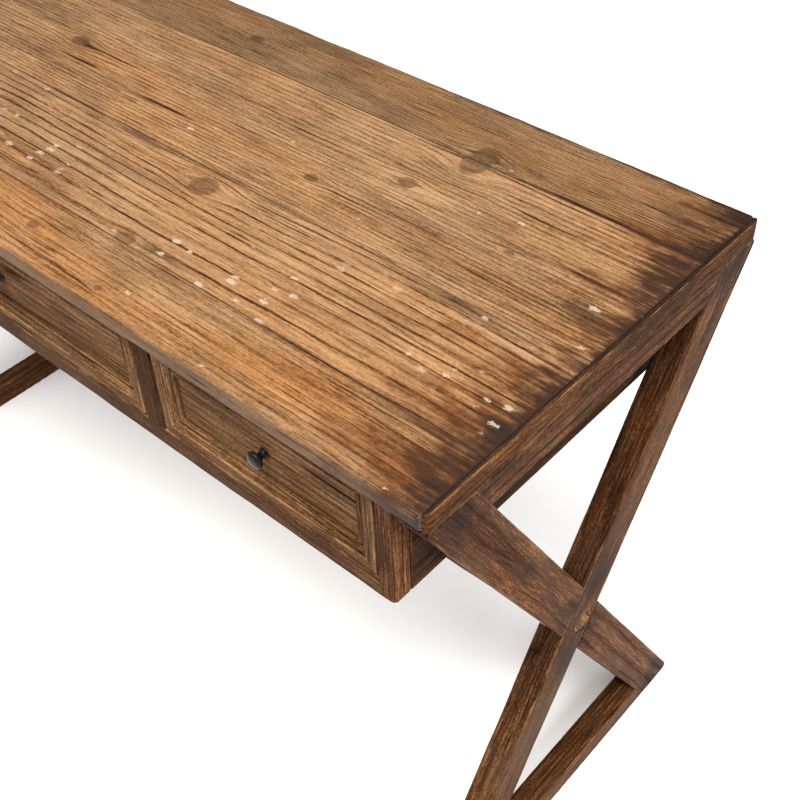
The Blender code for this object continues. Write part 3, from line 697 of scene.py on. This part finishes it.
def leg(node, side, lean, board):
    """A leg, lapped into the other at the crossing. The one that leans back has painted shade on its front
    face above the crossing, under the top.
    """
    low, high = (np.array(corner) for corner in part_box(node))
    box_low = np.array((low[0], -LEVEL_HALF, 0.0))
    box_high = np.array((high[0], LEVEL_HALF, high[2]))
    radius = 0.0030
    steps = (0.003, 0.003, 0.006)
    lines = [stations(box_low[i], box_high[i], steps[i], radius * 2) for i in range(3)]
    points, faces = lattice(lines)
    points, arris = soften(points, box_low, box_high, radius, sum(map(ord, node)), 0.7)
    upper = np.clip((points[:, 2] - CROSSING.y) / (high[2] - CROSSING.y), 0, 1)
    # Painted shade: darkens the front face above the crossing, where the top shades it.
    shade_under_top = 0.6 * upper * (points[:, 1] < radius - LEVEL_HALF) * (lean > 0)
    points = lean_points(points, lean, FOOT_TIP, LEG_TOP_TIP, high[2])
    obj = mesh_object(f"{node}_worn", points, faces, {"arris": arris, "dirt": shade_under_top})
    middle = (low[0] + high[0]) / 2
    outside = side * 0.05
    start, end = sorted((middle, middle - lean * outside))
    reach = LEG_WIDTH * 2
    tool = cutter_box("lap", (start, -LEVEL_HALF - FIT, -reach), (end, LEVEL_HALF + FIT, reach))
    shear = Matrix.Identity(4)
    shear[1][2] = -lean / LEG_SLOPE
    tool.data.transform(Matrix.Translation((0, 0, CROSSING.y)) @ shear)
    tools = [tool]
    if lean > 0:
        tools.append(round_tool(PLUG_HOLE, side * (abs(middle) + 0.0045), side * (HIGH.x + 0.01)))
    return finished(obj, node, board, tools)


def round_tool(radius, start, end):
    """A round cutter on the bolt's axis."""
    shape = bmesh.new()
    depth = abs(end - start)
    bmesh.ops.create_cone(shape, cap_ends=True, segments=48, radius1=radius, radius2=radius, depth=depth)
    mesh = bpy.data.meshes.new("bore")
    shape.to_mesh(mesh)
    shape.free()
    middle = Vector(((start + end) / 2, *BOLT_PLACE))
    mesh.transform(Matrix.Translation(middle) @ Matrix.Rotation(math.pi / 2, 4, "Y"))
    obj = bpy.data.objects.new("bore", mesh)
    bpy.context.scene.collection.objects.link(obj)
    return obj


def rail(node, board):
    """A rail between the legs, with ends that slope as they do, let a little into them."""
    low, high = (np.array(corner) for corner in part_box(node))
    radius = 0.0020
    low[1], high[1] = -1.0, 1.0
    lines = [stations(low[i], high[i], 0.003, radius * 2) for i in range(3)]
    lines[1] = np.linspace(-1.0, 1.0, 90)
    points, faces = lattice(lines)
    stretched_low, stretched_high = low.copy(), high.copy()
    points[:, 1] *= 10
    stretched_low[1], stretched_high[1] = -10, 10
    points, arris = soften(points, stretched_low, stretched_high, radius, sum(map(ord, node)), 0.6)
    points[:, 1] /= 10
    half = np.abs(points[:, 2] - CROSSING.y) / LEG_SLOPE - LEVEL_HALF + 0.003
    points[:, 1] *= half
    dirt = np.clip(np.abs(points[:, 1]) - half + 0.012, 0, 0.012) / 0.012 * 0.35
    obj = mesh_object(f"{node}_worn", points, faces, {"arris": arris, "dirt": dirt})
    return finished(obj, node, board)


def plug(node, side):
    """The round plug over a bolt, slightly domed, in a pale ring of glue that carries a painted highlight on
    its side toward the light.
    """
    low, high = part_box(node)
    middle = (low + high) / 2
    radius = (high.y - low.y) / 2
    face = high.x if side > 0 else -low.x
    profile = [(0.0, -0.006), (radius, -0.006), (radius, -0.0009), (radius - 0.0005, -0.0004)]
    profile += [(radius * share, -0.0004 * share**2 - 0.0001) for share in (0.9, 0.75, 0.55, 0.3, 0.0)]
    obj = turned(f"{node}_worn", profile, 64)
    obj.data.transform(
        Matrix.Translation((side * face, middle.y, middle.z)) @ Matrix.Rotation(side * math.pi / 2, 4, "Y")
    )
    board = Board(
        node, along=(0.0, 1.0, -LEG_SLOPE), across=(0.0, LEG_SLOPE, 1.0), spacing=0.0045, relief=0.0,
        contrast=0.8, worn=0.0, grey=0.3,
    )
    material = wood_material(board)
    obj.data.materials.append(ringed(material, middle, radius))
    return stand_for(obj, node)


def ringed(material, middle, radius):
    """Adds the pale line round the plug, painted as a highlight: strongest above and in front, toward the
    light.
    """
    net = Net(material.node_tree)
    shader = material.node_tree.nodes["Principled BSDF"]
    colour = shader.inputs["Base Color"].links[0].from_socket
    place = net.node("ShaderNodeTexCoord").outputs["Object"]
    centre = (0.0, middle.y, middle.z)
    away = net.node("ShaderNodeVectorMath", {0: place, 1: centre}, operation="SUBTRACT").outputs[0]
    flat = net.node("ShaderNodeVectorMath", {0: away, 1: (0.0, 1.0, 1.0)}, operation="MULTIPLY").outputs[0]
    length = net.node("ShaderNodeVectorMath", {0: flat}, operation="LENGTH").outputs["Value"]
    ring = net.ease(length, radius - 0.0022, radius - 0.0012)
    # A painted highlight: the pale ring fades in where it faces up and forward, toward the light.
    highlight_side = net.ease(net.dot(flat, (0.0, -0.75, 0.66)), 0.0, 0.7 * radius, 0.05, 0.95)
    net.feed(shader.inputs["Base Color"], net.tint(net.times(ring, highlight_side), colour, (0.33, 0.22, 0.13)))
    return material


def end_frames():
    for side_name, side in SIDES.items():
        for kind, lean in (("through", 1), ("lapped", -1)):
            node = f"leg_{kind}_{side_name}"
            along = (0.0, lean, LEG_SLOPE)
            across = (0.0, LEG_SLOPE, -lean)
            slant = math.hypot(1.0, LEG_SLOPE)
            # The leg whose top leans back under the top gets painted shade over its whole colour.
            board = Board(
                node, along=along, across=across, spacing=0.0052, groove=0.66, wander=0.026, contrast=0.55,
                line=0.5, relief=0.00010, grey=0.35, warm=0.55 if lean < 0 else 0.75,
                painted_shade=1.0 if lean < 0 else 0.92,
            )
            middle = board.along.dot(Vector((0, 0, CROSSING.y)))
            sideways = board.across.dot(Vector((0, 0, CROSSING.y)))
            top = middle + (HIGH.z - CROSSING.y) * slant / LEG_SLOPE
            foot = middle - CROSSING.y * slant / LEG_SLOPE
            board.pith = (sideways + (0.004 if lean < 0 else 0.07), -side * 0.56)
            board.smudges = (
                (top - 0.030, sideways, 0.075, 0.040, 0.75),
                (foot + 0.025, sideways, 0.060, 0.045, 0.80),
                (middle + 0.055, sideways, 0.045, 0.035, 0.60),
                (middle - 0.045, sideways, 0.045, 0.035, 0.60),
            )
            leg(node, side, lean, board)
        # The end rail gets painted shade, for the shade it falls in under the top.
        end_rail = Board(
            f"end_rail_{side_name}", along=Y, across=Z, spacing=0.0050, wander=0.012, warm=0.4, grey=0.3,
            pith=(0.62, 0.3), relief=0.00012, contrast=0.45, mottle=0.45, painted_shade=0.85,
            smudges=((-0.155, 0.742, 0.035, 0.014, 0.50), (0.02, 0.748, 0.16, 0.004, 0.35)),
        )
        rail(end_rail.name, end_rail)
        runner = Board(f"floor_runner_{side_name}", along=Y, across=Z, spacing=0.005, warm=0.4, grey=0.3)
        rail(runner.name, runner)
        plug(f"crossing_plug_{side_name}", side)
    bar = Board("stretcher", along=X, across=Z, spacing=0.0052, warm=0.5, grey=0.3)
    box_board("stretcher", bar, (0.008, 0.0035, 0.0035), 0.0028)


# Drawer case


def case_corner(side):
    """The case's round lower outer corner."""

    def shape(points):
        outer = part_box("case_side_right")[1].x if side > 0 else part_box("case_side_left")[0].x
        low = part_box("case_front_rail")[0].z
        centre = (outer - side * CASE_CORNER, low + CASE_CORNER)
        return round_corner(points, [0, 2], centre, (float(side), 0.0), (0.0, -1.0))

    return shape


def drawer_case():
    for side_name, side in SIDES.items():
        shape = case_corner(side)
        # The case's stiles, side panels and mullions get painted shade, for the front and sides of the case
        # being less lit under the top.
        stile = Board(
            f"case_stile_{side_name}", along=Z, across=X, spacing=0.0034, wander=0.006, grey=0.3, worn=0.8,
            contrast=0.45, painted_shade=0.90,
        )
        box_board(stile.name, stile, (0.002, 0.003, 0.004), 0.0026, shape, wear=0.5)
        panel = Board(
            f"case_side_{side_name}", along=Y, across=Z, spacing=0.006, wander=0.03, warm=0.8, grey=0.25,
            contrast=0.4, pith=(0.66, 0.5), painted_shade=0.64,
        )
        box_board(panel.name, panel, (0.004, 0.005, 0.003), 0.0018, shape, wear=0.5)
        mullion = Board(
            f"case_mullion_{side_name}", along=Z, across=X, spacing=0.0036, wander=0.006, contrast=0.45,
            painted_shade=0.54,
        )
        box_board(mullion.name, mullion, (0.002, 0.004, 0.004), 0.0018)
    front_rail = Board("case_front_rail", along=X, across=Z, spacing=0.0040, wander=0.010, grey=0.3)
    box_board("case_front_rail", front_rail, (0.005, 0.004, 0.0022), 0.0022)
    back = Board("case_back", along=X, across=Z, spacing=0.0050, wander=0.020, warm=0.4, grey=0.35)
    box_board("case_back", back, (0.010, 0.004, 0.003), 0.0012)


# Drawers

MOULDING = (  # inset from the front's edge and depth below its face
    (0.0000, 0.0016), (0.0005, 0.0006), (0.0014, 0.0001), (0.0024, 0.0000), (0.0102, 0.0000),
    (0.0112, 0.0003), (0.0124, 0.0012), (0.0142, 0.0024), (0.0162, 0.0038), (0.0178, 0.0047),
    (0.0186, 0.0058), (0.0194, 0.0063), (0.0201, 0.0060), (0.0207, 0.0051), (0.0216, 0.0045),
    (0.0226, 0.0044), (0.0235, 0.0048), (0.0242, 0.0060), (0.0247, 0.0077), (0.0252, 0.0080),
)
CORNER_BLEND = 0.0032
# Insets and widths of the paler ridges, worn and partly a painted highlight, and of the hollows darkened in
# colour: painted shade at the field's edge, and a dark line in the groove
RIDGES = ((0.0010, 0.0012), (0.0113, 0.0013), (0.0225, 0.0011))
GROOVE = (0.0192, 0.0009)
FIELD_EDGE = (0.0254, 0.0012)


def moulded_depth(inset):
    insets, depths = zip(*MOULDING)
    return np.interp(inset, insets, depths)


def band(inset, place, width):
    """1 at a place, fading on both sides of it."""
    return np.exp(-(((inset - place) / width) ** 2))


def front_lines(half, step):
    """Grid lines across a drawer front: one at each line of the moulding, and even ones between."""
    insets = np.array([inset for inset, _ in MOULDING])
    border = insets[4] * np.array((0.45, 0.7))
    near = np.unique(np.concatenate([insets, border]))
    reach = near[-1]
    count = round(2 * (half - reach) / step)
    middle = np.linspace(-half + reach, half - reach, count + 1)
    return np.concatenate([-half + near[:-1], middle, (half - near[:-1])[::-1]])


def drawer_front(place):
    node = f"drawer_{place}_front"
    low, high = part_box(node)
    middle = (low + high) / 2
    half_x, half_z = (high.x - low.x) / 2, (high.z - low.z) / 2
    xs, zs = front_lines(half_x, 0.0030), front_lines(half_z, 0.0018)
    ys = np.array((0.0, 1.0))
    points, faces = lattice([xs, ys, zs])
    from_x = half_x - np.abs(points[:, 0])
    from_z = half_z - np.abs(points[:, 2])
    share = np.clip(0.5 + 0.5 * (from_z - from_x) / CORNER_BLEND, 0, 1)
    inset = from_z + (from_x - from_z) * share - CORNER_BLEND * share * (1 - share)
    inset = np.maximum(inset, 0)
    depth = moulded_depth(inset)
    thick = high.y - low.y
    at_front = points[:, 1] < 0.5
    # Paler ridges, worn and partly a painted highlight; darker hollows: painted shade at the field's edge
    # under the moulding, and a dark line in the groove.
    arris = sum(band(inset, *ridge) for ridge in RIDGES)
    dirt = 0.85 * band(inset, *GROOVE) + 0.75 * band(inset, *FIELD_EDGE)
    points[:, 1] = np.where(at_front, depth, thick)
    points += np.array((middle.x, low.y, middle.z))
    obj = mesh_object(
        f"{node}_worn", points, faces,
        {"arris": np.where(at_front, arris, 0.0), "dirt": np.where(at_front, np.clip(dirt, 0, 0.9), 0.0)},
    )
    board = Board(
        node, along=X, across=Z, palette="drawer", spacing=0.0030, wander=0.014, relief=0.00012, line=0.6,
        grey=0.30, warm=0.25, worn=0.85, contrast=0.55, pith=(0.60, -0.02), gloss=0.40,
        border=MOULDING[-1][0], middle=(middle.x, middle.z), half=(half_x, half_z),
    )
    tools = []
    for side_name in SIDES:
        side_low, side_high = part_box(f"drawer_{place}_side_{side_name}")
        start = side_low - Vector((FIT + 0.002, FIT, 0.03))
        end = (side_high.x + FIT + 0.002, high.y + 0.01, high.z + 0.01)
        tools.append(cutter_box("rebate", start, end))
    floor_low, floor_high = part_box(f"drawer_{place}_bottom")
    start = (low.x + 0.005, floor_low.y - FIT, floor_low.z - FIT)
    end = (high.x - 0.005, high.y + 0.01, floor_high.z + FIT)
    tools.append(cutter_box("groove", start, end))
    finished(obj, node, board, tools)


KNOB_PROFILE = (  # radius and height over the drawer front
    (0.0, 0.0), (0.0060, 0.0), (0.0061, 0.0005), (0.0058, 0.0011), (0.0049, 0.0019),
    (0.0041, 0.0032), (0.0037, 0.0048), (0.0038, 0.0060), (0.0044, 0.0071), (0.0060, 0.0082),
    (0.0078, 0.0095), (0.0089, 0.0109), (0.0093, 0.0122), (0.0090, 0.0136), (0.0080, 0.0147),
    (0.0063, 0.0154), (0.0042, 0.0158), (0.0020, 0.0160), (0.0, 0.0160),
)


def turned(name, profile, steps):
    """A profile of radius and height, turned about +Z."""
    points, faces, rings = [], [], []
    for radius, height in profile:
        count = steps if radius else 1
        rings.append(range(len(points), len(points) + count))
        for i in range(count):
            turn = 2 * math.pi * i / count
            points.append((radius * math.cos(turn), radius * math.sin(turn), height))
    for lower, upper in zip(rings, rings[1:]):
        for i in range(steps):
            places = ((lower, i), (lower, i + 1), (upper, i + 1), (upper, i))
            corners = [ring[k % len(ring)] for ring, k in places]
            faces.append(list(dict.fromkeys(corners)))
    obj = mesh_object(name, points, faces)
    obj.data.set_sharp_from_angle(angle=math.radians(50))
    return obj


def enamel():
    """Glossy black enamel over iron, with a faint orange-peel surface and rubbed spots."""
    material = bpy.data.materials.new("knob_enamel")
    material.use_nodes = True
    net = Net(material.node_tree)
    shader = material.node_tree.nodes["Principled BSDF"]
    place = net.node("ShaderNodeTexCoord").outputs["Object"]

    def speckle(scale, detail=2.0):
        scaled = net.node("ShaderNodeVectorMath", {0: place, 3: scale}, operation="SCALE").outputs[0]
        return net.noise(scaled, detail)

    worn = net.ease(speckle(420.0, 3.0), 0.60, 0.75, 0.0, 0.6)
    colour = net.tint(speckle(150.0), (0.0035, 0.0032, 0.0035), (0.010, 0.009, 0.009))
    net.feed(shader.inputs["Base Color"], net.tint(worn, colour, (0.040, 0.034, 0.030)))
    net.feed(shader.inputs["Roughness"], net.add(0.14, net.times(speckle(260.0), 0.16), net.times(worn, 0.2)))
    bump = net.node("ShaderNodeBump", {"Height": speckle(700.0), "Strength": 0.12, "Distance": 0.0003})
    net.feed(shader.inputs["Normal"], bump.outputs["Normal"])
    shader.inputs["Specular IOR Level"].default_value = 0.07
    return material


def steel():
    """Dull zinc-plated steel with fine scratches."""
    material = bpy.data.materials.new("zinc_steel")
    material.use_nodes = True
    net = Net(material.node_tree)
    shader = material.node_tree.nodes["Principled BSDF"]
    place = net.node("ShaderNodeTexCoord").outputs["Object"]
    fine = net.node("ShaderNodeVectorMath", {0: place, 3: 900.0}, operation="SCALE").outputs[0]
    broad = net.node("ShaderNodeVectorMath", {0: place, 3: 160.0}, operation="SCALE").outputs[0]
    cloud = net.noise(broad, 3.0)
    net.feed(shader.inputs["Base Color"], net.tint(cloud, (0.30, 0.29, 0.27), (0.55, 0.54, 0.52)))
    net.feed(shader.inputs["Roughness"], net.add(0.25, net.times(cloud, 0.3)))
    shader.inputs["Metallic"].default_value = 1.0
    bump = net.node("ShaderNodeBump", {"Height": net.noise(fine, 2.0), "Strength": 0.15, "Distance": 0.0002})
    net.feed(shader.inputs["Normal"], bump.outputs["Normal"])
    return material


def drawers():
    black = enamel()
    for place in ("left", "centre", "right"):
        drawer_front(place)
        node = f"drawer_{place}_knob"
        low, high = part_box(node)
        middle = (low + high) / 2
        obj = turned(f"{node}_turned", KNOB_PROFILE, 72)
        base = Matrix.Translation((middle.x, high.y, middle.z))
        obj.data.transform(base @ Matrix.Rotation(math.pi / 2, 4, "X"))
        obj.data.materials.append(black)
        stand_for(obj, node)


# CAD nodes that stay, inside the case and the drawers


def kept_nodes():
    metal = steel()
    shown = [obj for obj in frame["nodes"].values() if not obj.hide_render]
    for obj in shown:
        obj.data.materials.clear()
        if "screw" in obj.name or "bolt" in obj.name:
            obj.data.materials.append(metal)
            continue
        low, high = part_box(obj.name)
        size = high - low
        order = sorted(range(3), key=lambda i: -size[i])
        along, across = (Vector(np.eye(3)[i]) for i in order[:2])
        board = Board(
            obj.name, along=along, across=across, palette="inner", spacing=0.0055, wander=0.02, relief=0.0,
            contrast=0.6, grey=0.08, warm=0.35, worn=0.3, gloss=0.55, bump=0.35,
        )
        obj.data.materials.append(wood_material(board))
        bevel = obj.modifiers.new("arris", "BEVEL")
        bevel.width = 0.0006
        bevel.segments = 2
        bevel.limit_method = "ANGLE"


# Studio

CAMERA_PLACE = Vector((1.0059, -0.6981, 1.4707))
CAMERA_AZIMUTH = math.radians(43.13)
CAMERA_ELEVATION = math.radians(43.81)
CAMERA_ROLL = math.radians(-2.34)
CAMERA_LENS = 54.18


def camera():
    data = bpy.data.cameras.new("camera")
    data.lens = CAMERA_LENS
    data.sensor_width = 36.0
    obj = bpy.data.objects.new("camera", data)
    bpy.context.scene.collection.objects.link(obj)
    turn = Matrix.Rotation(CAMERA_AZIMUTH, 4, "Z")
    tilt = Matrix.Rotation(math.pi / 2 - CAMERA_ELEVATION, 4, "X")
    roll = Matrix.Rotation(CAMERA_ROLL, 4, "Z")
    obj.matrix_world = Matrix.Translation(CAMERA_PLACE) @ turn @ tilt @ roll
    bpy.context.scene.camera = obj


def floor():
    size = 30.0
    points = [(x * size, y * size, 0.0) for x, y in ((-1, -1), (1, -1), (1, 1), (-1, 1))]
    obj = mesh_object("studio_floor", points, [[0, 1, 2, 3]])
    material = bpy.data.materials.new("studio_floor")
    material.use_nodes = True
    shader = material.node_tree.nodes["Principled BSDF"]
    shader.inputs["Base Color"].default_value = (0.92, 0.92, 0.92, 1.0)
    shader.inputs["Roughness"].default_value = 0.9
    obj.data.materials.append(material)


def lamp(name, place, target, size, power, colour=(1.0, 1.0, 1.0)):
    data = bpy.data.lights.new(name, "AREA")
    data.shape = "RECTANGLE"
    data.size, data.size_y = size
    data.energy = power
    data.color = colour
    obj = bpy.data.objects.new(name, data)
    obj.location = place
    obj.rotation_euler = (Vector(target) - Vector(place)).to_track_quat("-Z", "Y").to_euler()
    bpy.context.scene.collection.objects.link(obj)


def lights():
    lamp("key_softbox", (0.5, -0.9, 2.95), (0.2, 0.0, 0.6), (2.0, 1.4), 185.0, (1.0, 0.985, 0.96))
    lamp("right_fill", (3.0, 0.1, 1.9), (0.5, 0.0, 0.5), (1.8, 1.6), 95.0)
    lamp("back_fill", (1.6, 3.4, 0.9), (0.0, 0.1, 0.5), (2.2, 1.2), 34.0)
    world = bpy.data.worlds.new("studio")
    world.use_nodes = True
    background = world.node_tree.nodes["Background"]
    background.inputs["Color"].default_value = (1.0, 1.0, 1.0, 1.0)
    background.inputs["Strength"].default_value = 0.50
    bpy.context.scene.world = world
    bpy.context.scene.view_settings.view_transform = "Standard"


camera()
plank_top()
end_frames()
drawer_case()
drawers()
kept_nodes()
floor()
lights()
